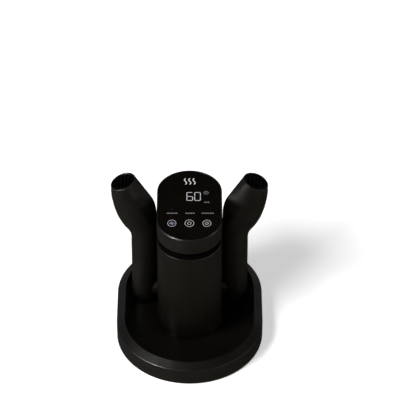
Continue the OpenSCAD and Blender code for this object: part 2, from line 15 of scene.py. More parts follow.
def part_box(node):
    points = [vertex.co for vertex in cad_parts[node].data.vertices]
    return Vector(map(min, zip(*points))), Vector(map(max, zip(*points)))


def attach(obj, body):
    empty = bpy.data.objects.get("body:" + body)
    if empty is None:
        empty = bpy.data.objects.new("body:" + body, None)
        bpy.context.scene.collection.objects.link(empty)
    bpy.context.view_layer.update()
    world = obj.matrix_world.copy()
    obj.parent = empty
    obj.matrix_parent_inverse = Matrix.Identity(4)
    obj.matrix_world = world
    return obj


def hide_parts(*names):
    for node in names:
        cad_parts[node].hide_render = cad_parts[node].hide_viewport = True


MM = 0.001
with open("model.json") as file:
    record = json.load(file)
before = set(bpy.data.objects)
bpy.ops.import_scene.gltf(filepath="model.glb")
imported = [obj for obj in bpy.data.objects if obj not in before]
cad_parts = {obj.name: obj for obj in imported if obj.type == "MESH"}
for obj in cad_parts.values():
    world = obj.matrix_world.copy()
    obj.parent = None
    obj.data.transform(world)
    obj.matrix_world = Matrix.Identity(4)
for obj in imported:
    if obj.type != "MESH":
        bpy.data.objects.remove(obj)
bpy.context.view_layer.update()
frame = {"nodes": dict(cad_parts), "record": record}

# ---------- driving dimensions, read from the CAD nodes ----------


def box_mm(node):
    """Lowest and highest corner of a CAD node's box."""
    low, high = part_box(node)
    return low / MM, high / MM


tray_low, tray_high = box_mm("base_tray")
shell_low, shell_high = box_mm("tower_shell")
cap_low, cap_high = box_mm("cap_shell")
panel_low, panel_high = box_mm("touch_panel")
inlet_low, inlet_high = box_mm("mains_inlet")
gasket_low, gasket_high = box_mm("duct_gaskets")
grille_high = box_mm("intake_grille")[1]
duct_high = box_mm("right_duct_front")[1]

# A stadium has a radius (R) and half the length of its straight sides (S), along Y
BASE_R = tray_high.x
BASE_S = tray_high.y - BASE_R
BASE_BOTTOM = tray_low.z
BASE_WALL = 2.5
LIP_TOP = tray_high.z
LIP_W = 12.4
LIP_DROP = 7.0
WALL_TOP = LIP_TOP - LIP_DROP
TRAY_FLOOR = shell_low.z
SEAT_GAP = 0.02  # under the pieces that stand on the tray's floor

TOWER_R = shell_high.x
TOWER_Y = (cap_low.y + cap_high.y) / 2
TOWER_S = (cap_high.y - cap_low.y) / 2 - TOWER_R
TOWER_WALL = 2.5
SEAM_Y = TOWER_Y + TOWER_S
FLANGE_R = 33.0
GRILLE_R = grille_high.x
SLOT_LOW = shell_high.z
SLOT_HIGH = cap_low.z
CAP_TOP = cap_high.z
CAP_RIM_W = 2.5
RECESS_R = TOWER_R - CAP_RIM_W
LEDGE_W = 2.5
LEDGE_Z = panel_low.z
PANEL_R = panel_high.x
PANEL_TOP = panel_high.z

PORT_Z = (gasket_low.z + gasket_high.z) / 2
PORT_R = 13.0
COLLAR_R = (gasket_high.z - gasket_low.z) / 2
COLLAR_X = gasket_high.x
DUCT_X = 63.6
DUCT_Y = duct_high.y
DUCT_R = 18.2
DUCT_WALL = 2.2

# ---------- mesh helpers ----------


def add_mesh(name, part, smooth_angle=40.0):
    """Object from (vertices in mm, faces), smooth except at edges that turn more than the angle."""
    verts, faces = part
    mesh = bpy.data.meshes.new(name)
    mesh.from_pydata([Vector(v) * MM for v in verts], [], faces)
    bm = bmesh.new()
    bm.from_mesh(mesh)
    bmesh.ops.remove_doubles(bm, verts=bm.verts, dist=1e-7)
    bmesh.ops.recalc_face_normals(bm, faces=bm.faces)
    bm.to_mesh(mesh)
    bm.free()
    obj = bpy.data.objects.new(name, mesh)
    bpy.context.scene.collection.objects.link(obj)
    shade(obj, smooth_angle)
    return obj


def shade(obj, smooth_angle):
    """Smooth faces with sharp edges where the surface turns more than the angle."""
    mesh = obj.data
    mesh.polygons.foreach_set("use_smooth", [True] * len(mesh.polygons))
    mesh.set_sharp_from_angle(angle=math.radians(smooth_angle))
    obj.modifiers.new("normals", "WEIGHTED_NORMAL").keep_sharp = True


def finish(obj, slot, nodes=(), material=None):
    """Gives a piece the material of its slot, hangs it under the root body and hides the CAD nodes
    it replaces.
    """
    obj.data.materials.clear()
    obj.data.materials.append(material or MATERIALS[slot])
    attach(obj, "root")
    if nodes:
        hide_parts(*nodes)


def cut(obj, part, smooth_angle=40.0):
    """Takes a closed shape out of an object's mesh for good."""
    cutter = add_mesh("cutter", part)
    cutter.modifiers.clear()
    obj.modifiers.clear()
    step = obj.modifiers.new("cut", "BOOLEAN")
    step.operation = "DIFFERENCE"
    step.solver = "EXACT"
    step.object = cutter
    bpy.context.view_layer.update()
    evaluated = obj.evaluated_get(bpy.context.evaluated_depsgraph_get())
    result = bpy.data.meshes.new_from_object(evaluated)
    obj.modifiers.clear()
    obj.data = result
    bpy.data.objects.remove(cutter)
    shade(obj, smooth_angle)


def merge(parts):
    """Joins (vertices, faces) pairs into one pair."""
    verts, faces = [], []
    for part_verts, part_faces in parts:
        offset = len(verts)
        verts.extend(part_verts)
        faces.extend(tuple(i + offset for i in face) for face in part_faces)
    return verts, faces


def placed(part, matrix):
    """The part moved by a matrix."""
    return [matrix @ Vector(v) for v in part[0]], part[1]


def mirrored(part, side):
    """The part itself for side 1, and its mirror image across X = 0 for side -1."""
    return [(side * v[0], v[1], v[2]) for v in part[0]], part[1]


def loft(rings, across=True, along=False):
    """Quads through equal rings of points, closed across each ring and along them as asked."""
    side = len(rings[0])
    verts = [p for ring in rings for p in ring]
    faces = []
    for i in range(len(rings) if along else len(rings) - 1):
        up = ((i + 1) % len(rings) - i) * side
        for k in range(side if across else side - 1):
            a = i * side + k
            b = i * side + (k + 1) % side
            faces.append((a, b, b + up, a + up))
    if not along:
        faces.append(tuple(range(side)))
        faces.append(tuple(range(len(verts) - side, len(verts))))
    return verts, faces


def rounded(corners, steps=6):
    """Closed outline through (x, y, radius) corners, each rounded by an arc."""
    outline = []
    for i, (x, y, radius) in enumerate(corners):
        corner = Vector((x, y))
        if radius == 0:
            outline.append(corner)
            continue
        back = (Vector(corners[i - 1][:2]) - corner).normalized()
        ahead = (Vector(corners[(i + 1) % len(corners)][:2]) - corner).normalized()
        half = back.angle(ahead) / 2
        centre = corner + (back + ahead).normalized() * radius / math.sin(half)
        first = corner + back * radius / math.tan(half) - centre
        last = corner + ahead * radius / math.tan(half) - centre
        turn = -first.angle_signed(last)
        outline += [centre + Matrix.Rotation(turn * k / steps, 2) @ first
                    for k in range(steps + 1)]
    return outline


def stadium_path(straight, middle_y, part, arc_steps, straight_steps=8):
    """Stations round a stadium, or its front or rear part: (foot point, outward direction)."""
    rear_y, front_y = middle_y + straight, middle_y - straight

    def arc(first, centre_y):
        return [(centre_y, first + 180 * k / arc_steps) for k in range(arc_steps + 1)]

    def side(angle, from_y, to_y):
        return [(from_y + (to_y - from_y) * k / straight_steps, angle)
                for k in range(1, straight_steps)]

    rear, front = arc(0, rear_y), arc(180, front_y)
    left, right = side(180, rear_y, front_y), side(0, front_y, rear_y)
    if part == "rear":
        path = rear
    elif part == "front":
        path = [rear[-1]] + left + front + right + [rear[0]]
    else:
        path = rear + left + front + right
    return [(Vector((0, y)), Vector((math.cos(math.radians(a)), math.sin(math.radians(a)))))
            for y, a in path]


def swept_rings(section, straight, middle_y, part, arc_steps):
    """One copy of a (radius, height) section at each station of a stadium or of its part."""
    return [[Vector((*(foot + way * p.x), p.y)) for p in section]
            for foot, way in stadium_path(straight, middle_y, part, arc_steps)]


def sweep(section, straight, middle_y, across=True, arc_steps=64):
    """Sweeps a (radius, height) section round a stadium. An open section ends on its spine."""
    return loft(swept_rings(section, straight, middle_y, "all", arc_steps), across, along=True)


def soft_box(size, edge, centre=(0, 0, 0), steps=3):
    """Box with rounded upright edges and softened upper and lower edges."""
    half = Vector(size) / 2
    rings = []
    for inset, z in ((edge, -half.z), (edge * 0.3, edge * 0.3 - half.z), (0, edge - half.z),
                     (0, half.z - edge), (edge * 0.3, half.z - edge * 0.3), (edge, half.z)):
        x, y = half.x - inset, half.y - inset
        ring = rounded([(x, -y, edge), (x, y, edge), (-x, y, edge), (-x, -y, edge)], steps)
        rings.append([Vector((p.x, p.y, z)) + Vector(centre) for p in ring])
    return loft(rings)


def turned(section, steps=64, across=True):
    """A (radius, height) section turned round the Z axis. An open section ends on the axis."""
    rings = []
    for k in range(steps):
        angle = 2 * math.pi * k / steps
        rings.append([(p.x * math.cos(angle), p.x * math.sin(angle), p.y) for p in section])
    return loft(rings, across, along=True)


def cylinder(radius, low, high, steps=48):
    """Plain cylinder on the Z axis between two heights."""
    rings = []
    for z in (low, high):
        rings.append([(radius * math.cos(2 * math.pi * k / steps),
                       radius * math.sin(2 * math.pi * k / steps), z) for k in range(steps)])
    return loft(rings)


# ---------- materials ----------


class Finish:
    """Short calls for building one material's node tree."""

    def __init__(self, name):
        self.material = bpy.data.materials.new(name)
        self.material.use_nodes = True
        self.tree = self.material.node_tree
        self.shader = self.tree.nodes["Principled BSDF"]
        self.place = self.add("ShaderNodeTexCoord").outputs["Object"]

    def add(self, kind, **inputs):
        """New node with these input values; an underscore stands for a space."""
        node = self.tree.nodes.new(kind)
        for key, value in inputs.items():
            node.inputs[key.replace("_", " ")].default_value = value
        return node

    def link(self, out, into):
        """Joins an output socket to an input socket."""
        self.tree.links.new(out, into)

    def noise(self, per_mm, detail=3.0, roughness=0.5):
        """Noise with about the given number of blobs to the millimetre."""
        node = self.add("ShaderNodeTexNoise", Scale=per_mm / MM, Detail=detail,
                        Roughness=roughness)
        self.link(self.place, node.inputs["Vector"])
        return node.outputs["Fac"]

    def ramp(self, value, low, high, at=(0.35, 0.65)):
        """Two colours or two grey values over a value's range."""
        node = self.add("ShaderNodeValToRGB")
        for stop, position, colour in zip(node.color_ramp.elements, at, (low, high)):
            stop.position = position
            stop.color = (*colour, 1) if isinstance(colour, tuple) else (colour,) * 3 + (1,)
        self.link(value, node.inputs["Fac"])
        return node.outputs["Color"]

    def bump(self, height, strength, distance_mm):
        """Adds a height to the surface, on top of any that it has already."""
        node = self.add("ShaderNodeBump", Strength=strength, Distance=distance_mm * MM)
        self.link(height, node.inputs["Height"])
        normal = self.shader.inputs["Normal"]
        if normal.links:
            self.link(normal.links[0].from_socket, node.inputs["Normal"])
        self.link(node.outputs["Normal"], normal)

    def set(self, **inputs):
        """Constant values of the shader's own inputs."""
        for key, value in inputs.items():
            self.shader.inputs[key.replace("_", " ")].default_value = value


def moulded(name, colour, roughness, grain=0.25, specular=0.5, spread=0.15):
    """Moulded plastic or rubber: fine eroded grain, faint drift of tone and gloss."""
    look = Finish(name)
    dark = tuple(c * (1 - spread) for c in colour)
    light = tuple(c * (1 + spread) for c in colour)
    look.link(look.ramp(look.noise(0.03, 4), dark, light, (0.3, 0.7)),
              look.shader.inputs["Base Color"])
    look.link(look.ramp(look.noise(0.12, 5), roughness - 0.03, roughness + 0.03),
              look.shader.inputs["Roughness"])
    look.bump(look.noise(2.6, 2), grain, 0.02)
    look.bump(look.noise(0.35, 3), grain * 0.5, 0.03)
    look.set(Specular_IOR_Level=specular)
    return look.material


def metal(name, colour, roughness):
    """Bare or plated metal with slight tarnish and handling marks."""
    look = Finish(name)
    dark = tuple(c * 0.85 for c in colour)
    look.link(look.ramp(look.noise(0.6, 4), dark, colour),
              look.shader.inputs["Base Color"])
    look.link(look.ramp(look.noise(1.4, 3), roughness * 0.8, roughness * 1.25),
              look.shader.inputs["Roughness"])
    look.bump(look.noise(3.0, 2), 0.15, 0.02)
    look.set(Metallic=1.0)
    return look.material


def gloss_panel():
    """Polished black acrylic with the faintest haze of handling."""
    look = Finish("gloss_panel")
    look.link(look.ramp(look.noise(0.05, 3), (0.0130, 0.0100, 0.0075),
                        (0.0165, 0.0127, 0.0095)),
              look.shader.inputs["Base Color"])
    look.link(look.ramp(look.noise(0.09, 5, 0.6), 0.10, 0.16),
              look.shader.inputs["Roughness"])
    look.bump(look.noise(0.08, 2), 0.05, 0.02)
    look.set(Specular_IOR_Level=0.3)
    return look.material


def glow(name, colour, strength):
    """Printed mark lit from behind, a little uneven as light guides are."""
    look = Finish(name)
    look.link(look.ramp(look.noise(0.4, 2), tuple(c * 0.85 for c in colour), colour),
              look.shader.inputs["Emission Color"])
    look.set(Base_Color=(*(c * 0.4 for c in colour), 1), Roughness=0.35,
             Emission_Strength=strength)
    return look.material


def circuit_board():
    """Green solder mask over faint copper tracks."""
    look = Finish("circuit_board")
    tracks = look.add("ShaderNodeTexBrick", Scale=0.12 / MM, Color1=(0.012, 0.10, 0.035, 1),
                      Color2=(0.018, 0.13, 0.05, 1), Mortar=(0.03, 0.19, 0.08, 1))
    look.link(look.place, tracks.inputs["Vector"])
    look.link(tracks.outputs["Color"], look.shader.inputs["Base Color"])
    look.link(look.ramp(look.noise(0.5, 3), 0.28, 0.4),
              look.shader.inputs["Roughness"])
    return look.material


MATERIALS = {
    "shell": moulded("satin_shell", (0.0125, 0.0098, 0.0068), 0.34, grain=0.3, specular=0.6),
    "trim": moulded("matte_trim", (0.0034, 0.0028, 0.0024), 0.5, grain=0.4, specular=0.1),
    "panel": gloss_panel(),
    "rubber": moulded("rubber", (0.006, 0.006, 0.006), 0.8, grain=0.6, specular=0.15),
    "steel": metal("zinc_steel", (0.55, 0.56, 0.58), 0.32),
    "contact": metal("contact_metal", (0.70, 0.66, 0.52), 0.22),
    "board": circuit_board(),
    "indicator": glow("indicator_lens", (0.04, 0.05, 0.40), 0.12),
    "pad": moulded("touch_foam", (0.05, 0.05, 0.055), 0.9, grain=1.0, specular=0.2),
    "bronze": metal("sintered_bronze", (0.45, 0.30, 0.12), 0.45),
    "winding": metal("enamelled_wire", (0.42, 0.20, 0.07), 0.3),
    "magnet": moulded("bonded_magnet", (0.05, 0.046, 0.042), 0.6),
    "heat_plastic": moulded("heater_plastic", (0.05, 0.045, 0.04), 0.6),
    "heater_metal": metal("mill_aluminium", (0.60, 0.61, 0.62), 0.35),
    "white_plastic": moulded("white_plastic", (0.62, 0.60, 0.54), 0.45, spread=0.05),
    "relay_blue": moulded("relay_blue", (0.03, 0.09, 0.32), 0.4, spread=0.1),
    "can_sleeve": moulded("can_sleeve", (0.02, 0.02, 0.03), 0.25, grain=0.05),
    "cable": moulded("cable_jacket", (0.20, 0.20, 0.21), 0.5, spread=0.1),
}
PRINT_WHITE = glow("print_white", (0.86, 0.88, 0.90), 0.70)
PRINT_DIM = glow("print_dim", (0.46, 0.46, 0.47), 0.40)
PRINT_BLUE = glow("print_blue", (0.76, 0.80, 0.93), 0.80)


def finish_cad_nodes():
    """Gives every CAD node the material of its slot and smooth shading."""
    for entry in frame["record"]["subparts"]:
        obj = frame["nodes"][entry["node"]]
        obj.data.materials.clear()
        obj.data.materials.append(MATERIALS[entry["material_slot"]])
        shade(obj, 35)


# ---------- base ----------


def base_tray():
    """Outer wall, sloping lip and drip tray in one moulding, open below."""
    lip_r = BASE_R - LIP_W
    inner = lip_r + BASE_WALL
    under = TRAY_FLOOR - BASE_WALL
    wall_inner = BASE_R - BASE_WALL
    section = rounded([
        (0, TRAY_FLOOR, 0), (lip_r, TRAY_FLOOR, 1.2), (lip_r, LIP_TOP, 0.8),
        (BASE_R, WALL_TOP, 1.3), (BASE_R, BASE_BOTTOM, 0.4),
        (wall_inner, BASE_BOTTOM, 0.4), (wall_inner, WALL_TOP - 2, 0.5),
        (inner, LIP_TOP - 4, 0.5), (inner, under, 0), (0, under, 0)])
    tray = add_mesh("base_tray_moulding", sweep(section, BASE_S, 0, across=False, arc_steps=96))
    finish(tray, "shell", ["base_tray"])


# ---------- tower ----------


def tower_half(part):
    """Swept wall whose two ends stand back from the seam and are chamfered."""
    seam_gap, chamfer = 0.12, 0.35
    inner = TOWER_R - TOWER_WALL
    foot = TRAY_FLOOR + SEAT_GAP
    flange_low = SLOT_LOW - TOWER_WALL
    section = rounded([
        (TOWER_R, foot, 0.4), (TOWER_R, SLOT_LOW, 1.8), (FLANGE_R, SLOT_LOW, 0.4),
        (FLANGE_R, flange_low, 0), (inner, flange_low, 0), (inner, foot, 0)])
    rings = swept_rings(section, TOWER_S, TOWER_Y, part, 64)
    away = 1 if part == "rear" else -1
    reach = TOWER_R - chamfer
    # Each end ring is doubled: a full one behind the chamfer, and a narrower one at the seam
    for end, at in ((0, 1), (-1, -1)):
        full = [Vector((p.x, SEAM_Y + away * (seam_gap + chamfer), p.z)) for p in rings[end]]
        rings[end] = [Vector((max(-reach, min(reach, p.x)), SEAM_Y + away * seam_gap, p.z))
                      for p in rings[end]]
        rings.insert(at, full)
    return loft(rings)


def tower():
    """Front shell with a port on each side, and rear cover with the hole for the inlet."""
    front = add_mesh("tower_shell_moulding", tower_half("front"))
    along_x = Matrix.Translation((0, DUCT_Y, PORT_Z)) @ Matrix.Rotation(math.pi / 2, 4, "Y")
    past_wall = TOWER_R + 15
    cut(front, placed(cylinder(PORT_R, -past_wall, past_wall), along_x))
    finish(front, "shell", ["tower_shell"])
    rear = add_mesh("rear_cover_moulding", tower_half("rear"))
    size = inlet_high - inlet_low
    play, depth, hole_corner = 0.2, 24, 1.4
    along_y = (Matrix.Translation((0, inlet_high.y, (inlet_low.z + inlet_high.z) / 2))
               @ Matrix.Rotation(math.pi / 2, 4, "X"))
    hole = soft_box((size.x + 2 * play, size.z + 2 * play, depth), hole_corner)
    cut(rear, placed(hole, along_y))
    finish(rear, "shell", ["rear_cover"])


def intake_grille():
    """Two rings with upright ribs and posts between them, set back in the air slot."""
    ring_h = 1.8
    rib_w = 1.6
    rib_inset = 0.5
    end_ribs, side_ribs = 27, 14
    depth = GRILLE_R - FLANGE_R - 2 * rib_inset
    high = SLOT_HIGH - SLOT_LOW
    middle = FLANGE_R + depth / 2 + rib_inset
    parts = []
    for low in (SLOT_LOW, SLOT_HIGH - ring_h):
        section = rounded([(FLANGE_R, low, 0.2), (GRILLE_R, low, 0.5),
                           (GRILLE_R, low + ring_h, 0.5), (FLANGE_R, low + ring_h, 0.2)], 3)
        parts.append(sweep(section, TOWER_S, TOWER_Y))
    rib = soft_box((depth, rib_w, high - 2 * rib_inset), 0.35, (0, 0, SLOT_LOW + high / 2))
    for side in (-1, 1):
        for i in range(side_ribs + 1):
            y = TOWER_Y + TOWER_S * (2 * i / side_ribs - 1)
            parts.append(placed(rib, Matrix.Translation((side * middle, y, 0))))
    for end in (-1, 1):
        for i in range(1, end_ribs):
            turn = Matrix.Rotation(end * math.pi * i / end_ribs, 4, "Z")
            parts.append(placed(rib, Matrix.Translation((0, TOWER_Y + end * TOWER_S, 0)) @ turn
                                @ Matrix.Translation((middle, 0, 0))))
    post_reach, post_turn = 35.8, math.radians(25)
    post_r, screw_r = 2.6, 1.6
    post = turned(rounded([(screw_r, SLOT_LOW, 0), (post_r, SLOT_LOW, 0), (post_r, SLOT_HIGH, 0),
                           (screw_r, SLOT_HIGH, 0)]), 32)
    for side in (-1, 1):
        for end in (-1, 1):
            spot = (side * post_reach * math.cos(post_turn),
                    TOWER_Y + end * (TOWER_S + post_reach * math.sin(post_turn)), 0)
            parts.append(placed(post, Matrix.Translation(spot)))
    finish(add_mesh("intake_grille_ribs", merge(parts)), "trim", ["intake_grille"])


def cap():
    """Cap with a floor, a chamfered rim and a ledge on which the panel lies."""
    inner = TOWER_R - TOWER_WALL
    ledge_r = RECESS_R - LEDGE_W
    floor_z = SLOT_HIGH + TOWER_WALL
    chamfer = 1.3
    section = rounded([
        (0, floor_z, 0), (inner, floor_z, 0), (inner, LEDGE_Z - 4, 0), (ledge_r, LEDGE_Z - 1.5, 0),
        (ledge_r, LEDGE_Z, 0), (RECESS_R, LEDGE_Z, 0), (RECESS_R, CAP_TOP, 0.35),
        (TOWER_R - chamfer, CAP_TOP, 0.4), (TOWER_R, CAP_TOP - chamfer, 0.5),
        (TOWER_R, SLOT_HIGH, 1.0), (0, SLOT_HIGH, 0)])
    shell = add_mesh("cap_moulding", sweep(section, TOWER_S, TOWER_Y, across=False,
                                           arc_steps=96))
    finish(shell, "shell", ["cap_shell"])


# ---------- panel and its marks ----------

# Places on the panel, from the middle of the base
PRINT_LOW, PRINT_HIGH = -0.02, 0.03  # lower and upper face of the marks, from the panel's top
ICON_PITCH = 23.9
ICON_Y = -19.0
ICON_R = 5.6
LABEL_Y = 2.0
DIGIT_Y = 37.5
DIGIT_X = (0.3, 11.1)
DIGIT_W, DIGIT_H = 9.0, 18.2
SEGMENTS = {"6": "afgedc", "0": "abcdef"}
UNIT_X, UNIT_Y = 22.9, 45.4  # ring beside the digits
UNIT_LABEL_X, UNIT_LABEL_Y = 23.8, 25.2
WARM_AIR_X, WARM_AIR_Y = 0.3, 70.0
LIGHT_X, LIGHT_Y = -24.4, 10.5


def prism(outline):
    """Thin printed mark from a closed outline on the panel's face."""
    return loft([[(p[0], p[1], PANEL_TOP + z) for p in outline]
                 for z in (PRINT_LOW, PRINT_HIGH)])


def bar(x, y, wide, high, radius):
    """Round-cornered bar centred at (x, y)."""
    half_w, half_h = wide / 2, high / 2
    return prism(rounded([(x + half_w, y - half_h, radius), (x + half_w, y + half_h, radius),
                          (x - half_w, y + half_h, radius), (x - half_w, y - half_h, radius)], 4))


def ribbon(points, width, closed=False):
    """Printed stroke of constant width along a path."""
    points = [Vector(p) for p in points]
    count = len(points)
    rings = []
    for i, p in enumerate(points):
        before = points[i - 1] if i or closed else p
        after = points[(i + 1) % count] if i < count - 1 or closed else p
        way = (after - before).normalized()
        a = p + Vector((-way.y, way.x)) * width / 2
        b = p - Vector((-way.y, way.x)) * width / 2
        rings.append([(a.x, a.y, PANEL_TOP + PRINT_LOW), (b.x, b.y, PANEL_TOP + PRINT_LOW),
                      (b.x, b.y, PANEL_TOP + PRINT_HIGH), (a.x, a.y, PANEL_TOP + PRINT_HIGH)])
    return loft(rings, along=closed)


def arc_points(x, y, radius, first=0.0, last=360.0, steps=48, stretch=1.0):
    """Points of an arc; of a full circle the last one is left out."""
    count = steps if last - first == 360 else steps + 1
    angles = [math.radians(first + (last - first) * k / steps) for k in range(count)]
    return [(x + radius * math.cos(a), y + radius * stretch * math.sin(a)) for a in angles]


def ring_mark(x, y, radius, width, stretch=1.0):
    """Ring of the given line width, stretched along Y."""
    return ribbon(arc_points(x, y, radius, stretch=stretch), width, closed=True)


def dot_mark(x, y, radius):
    """Filled round dot."""
    return prism(arc_points(x, y, radius, steps=32))


def seven_segment(character, x, y):
    """One digit made of bevelled bars."""
    stroke, inset, tip_gap = 0.95, 0.55, 0.25
    half_w, half_h = DIGIT_W / 2 - inset, DIGIT_H / 2 - inset
    places = {"a": (0, half_h, 0), "g": (0, 0, 0), "d": (0, -half_h, 0),
              "f": (-half_w, half_h / 2, 90), "b": (half_w, half_h / 2, 90),
              "e": (-half_w, -half_h / 2, 90), "c": (half_w, -half_h / 2, 90)}
    parts = []
    for segment in SEGMENTS[character]:
        dx, dy, turn = places[segment]
        reach = (half_w if turn == 0 else half_h / 2) - tip_gap
        tip = stroke / 2
        outline = [Vector(p) for p in ((-reach, 0), (tip - reach, -tip), (reach - tip, -tip),
                                       (reach, 0), (reach - tip, tip), (tip - reach, tip))]
        spin = Matrix.Rotation(math.radians(turn), 2)
        parts.append(prism([spin @ p + Vector((x + dx, y + dy)) for p in outline]))
    return parts


def tick_row(x, y, widths, high=1.8, gap=0.7):
    """Row of short bars that stands for a printed label."""
    left = x - (sum(widths) + gap * (len(widths) - 1)) / 2
    parts = []
    for wide in widths:
        parts.append(bar(left + wide / 2, y, wide, high, 0.4))
        left += wide + gap
    return parts


def fan_glyph(x, y):
    """Four curved blades round a hub."""
    parts = [dot_mark(x, y, 0.5)]
    for turn in range(0, 360, 90):
        angle = math.radians(turn)
        middle = (x + 1.9 * math.cos(angle), y + 1.9 * math.sin(angle))
        parts.append(ribbon(arc_points(*middle, 1.3, turn - 20, turn + 170, 14), 0.42))
    return parts


def loop_glyph(x, y):
    """Plain ring."""
    return [ring_mark(x, y, 2.5, 0.55, 1.1)]


def clock_glyph(x, y):
    """Clock face with two hands."""
    return [ring_mark(x, y, 2.5, 0.5),
            ribbon([(x, y + 1.4), (x, y), (x + 1.2, y - 0.7)], 0.45)]


def warm_air_mark(x, y):
    """Three rising waves, the usual sign for warm air."""
    pitch, swing, high, width, steps = 6.0, 1.4, 13.0, 1.5, 24
    parts = []
    for i in (-1, 0, 1):
        points = [(x + i * pitch + swing * math.sin(2 * math.pi * k / steps),
                   y + high * (k / steps - 0.5)) for k in range(steps + 1)]
        parts.append(ribbon(points, width))
    return parts


def panel():
    """Glossy plate and the marks printed on it."""
    section = rounded([(0, LEDGE_Z, 0), (PANEL_R, LEDGE_Z, 0.4), (PANEL_R, PANEL_TOP, 0.4),
                       (0, PANEL_TOP, 0)], 4)
    plate = add_mesh("touch_panel_plate", sweep(section, TOWER_S, TOWER_Y, across=False,
                                                arc_steps=72))
    finish(plate, "panel", ["touch_panel"])
    white = (seven_segment("6", DIGIT_X[0], DIGIT_Y) + seven_segment("0", DIGIT_X[1], DIGIT_Y)
             + warm_air_mark(WARM_AIR_X, WARM_AIR_Y)
             + loop_glyph(0, ICON_Y) + clock_glyph(ICON_PITCH, ICON_Y)
             + [ring_mark(0, ICON_Y, ICON_R + 0.5, 0.55, 1.15),
                ring_mark(ICON_PITCH, ICON_Y, ICON_R, 0.55, 1.2)])
    labels = (tick_row(0.2 - ICON_PITCH, LABEL_Y, (2.8, 1.7, 2.5, 1.5, 3.0))
              + tick_row(0.8, LABEL_Y, (2.8, 2.2, 3.0, 2.4))
              + tick_row(ICON_PITCH + 1.2, LABEL_Y, (1.8, 2.6, 2.3, 1.7, 2.7, 1.8))
              + tick_row(UNIT_LABEL_X, UNIT_LABEL_Y, (1.9, 1.2, 2.3), 2.0)
              + [ring_mark(UNIT_X, UNIT_Y, 3.2, 0.7), dot_mark(UNIT_X, UNIT_Y, 1.0)])
    fan = (fan_glyph(-ICON_PITCH, ICON_Y)
           + [ring_mark(-ICON_PITCH, ICON_Y, ICON_R, 0.5, 1.2)])
    finish(add_mesh("panel_print_white", merge(white)), "indicator", material=PRINT_WHITE)
    finish(add_mesh("panel_print_labels", merge(labels)), "indicator", material=PRINT_DIM)
    finish(add_mesh("panel_print_fan", merge(fan)), "indicator", material=PRINT_BLUE)
    finish(add_mesh("panel_dot_blue", dot_mark(LIGHT_X, LIGHT_Y, 1.2)), "indicator")


# ---------- ducts ----------

MOUTH_R = 18.0
MOUTH_TILT = math.radians(20)
MOUTH_X = 91.5
MOUTH_Z = 225.0
HEAD_START = 118.0  # height at which the straight part ends
STRAIGHT_CREASE = 150  # crease angle where the duct is still round
CREASE_SOFTNESS = math.radians(3)
MOUTH_IN = (MOUTH_X - MOUTH_R * math.cos(MOUTH_TILT), MOUTH_Z + MOUTH_R * math.sin(MOUTH_TILT))
MOUTH_OUT = (MOUTH_X + MOUTH_R * math.cos(MOUTH_TILT), MOUTH_Z - MOUTH_R * math.sin(MOUTH_TILT))
# Cross-sections of the bent head: inner edge x, its height, outer edge x, its height, half
# depth, the flatness of the two facets between the crease and the inner edge, and the crease's
# angle from the outer edge. The first and the last one only guide the curve between the others.
STATIONS = [Vector(s) for s in (
    (45.4, HEAD_START - 16, 81.8, HEAD_START - 16, DUCT_R, 0, STRAIGHT_CREASE),
    (45.4, HEAD_START - 2, 81.8, HEAD_START - 2, DUCT_R, 0, STRAIGHT_CREASE),
    (45.3, 131.0, 81.9, 129.0, DUCT_R, 0, STRAIGHT_CREASE),
    (45.2, 146.0, 85.0, 140.0, 18.4, 0.35, 142),
    (45.2, 161.0, 92.8, 151.0, 18.7, 0.75, 129),
    (45.5, 176.0, 99.6, 164.5, 19.0, 0.9, 116),
    (49.0, 191.5, 104.2, 180.0, 19.2, 0.85, 107),
    (56.8, 205.0, 106.9, 194.0, 19.2, 0.6, 104),
    (65.6, 218.0, 108.2, 206.0, 18.7, 0.25, 104),
    (*MOUTH_IN, *MOUTH_OUT, MOUTH_R, 0, 104),
    (MOUTH_IN[0] + 5, MOUTH_IN[1] + 12, MOUTH_OUT[0] + 4, MOUTH_OUT[1] + 12, MOUTH_R, 0, 104))]


def station(t):
    """Smooth curve through the stations; t runs from 1 to len(STATIONS) - 2."""
    i = min(int(t), len(STATIONS) - 3)
    u = t - i
    a, b, c, d = (STATIONS[i + k] for k in (-1, 0, 1, 2))
    return 0.5 * (2 * b + (c - a) * u + (2 * a - 5 * b + 4 * c - d) * u * u
                  + (3 * b - a - 3 * c + d) * u * u * u)


def sharply_creased(angle, flat, crease):
    """Point of a unit circle whose arc from the crease to pi is flattened towards its chord."""
    angle = (angle + math.pi) % (2 * math.pi) - math.pi
    arc = Vector((math.cos(angle), math.sin(angle)))
    reach = (abs(angle) - crease) / (math.pi - crease)
    if reach <= 0:
        return arc
    start = Vector((math.cos(crease), math.copysign(math.sin(crease), angle)))
    return arc.lerp(start.lerp(Vector((-1, 0)), reach), flat)


def creased(angle, flat, crease):
    """The same outline with its creases softened over a few degrees."""
    nearby = [sharply_creased(angle + k * CREASE_SOFTNESS, flat, crease) for k in range(-2, 3)]
    return sum(nearby, Vector((0, 0))) / len(nearby)


def duct_ring(cut_at, angles, inwards, groove=0.0):
    """Half ring of points at one cross-section; its two ends dip into the parting groove."""
    inner, outer = Vector(cut_at[0:2]), Vector(cut_at[2:4])
    half_depth, flat, crease = cut_at[4:7]
    middle, across = (inner + outer) / 2, (outer - inner) / 2
    points = []
    for k, angle in enumerate(angles):
        depth = inwards + (groove if k in (0, len(angles) - 1) else 0)
        way = creased(angle, flat, math.radians(crease))
        along = across * (1 - depth / across.length) * way.x
        points.append((middle.x + along.x, DUCT_Y + (half_depth - depth) * way.y,
                       middle.y + along.y))
    return points


def straight_cut(z, inset=0.0):
    """Round cross-section of the duct's straight part, in the form of a station."""
    radius = DUCT_R - inset
    return Vector((DUCT_X - radius, z, DUCT_X + radius, z, radius, 0, STRAIGHT_CREASE))


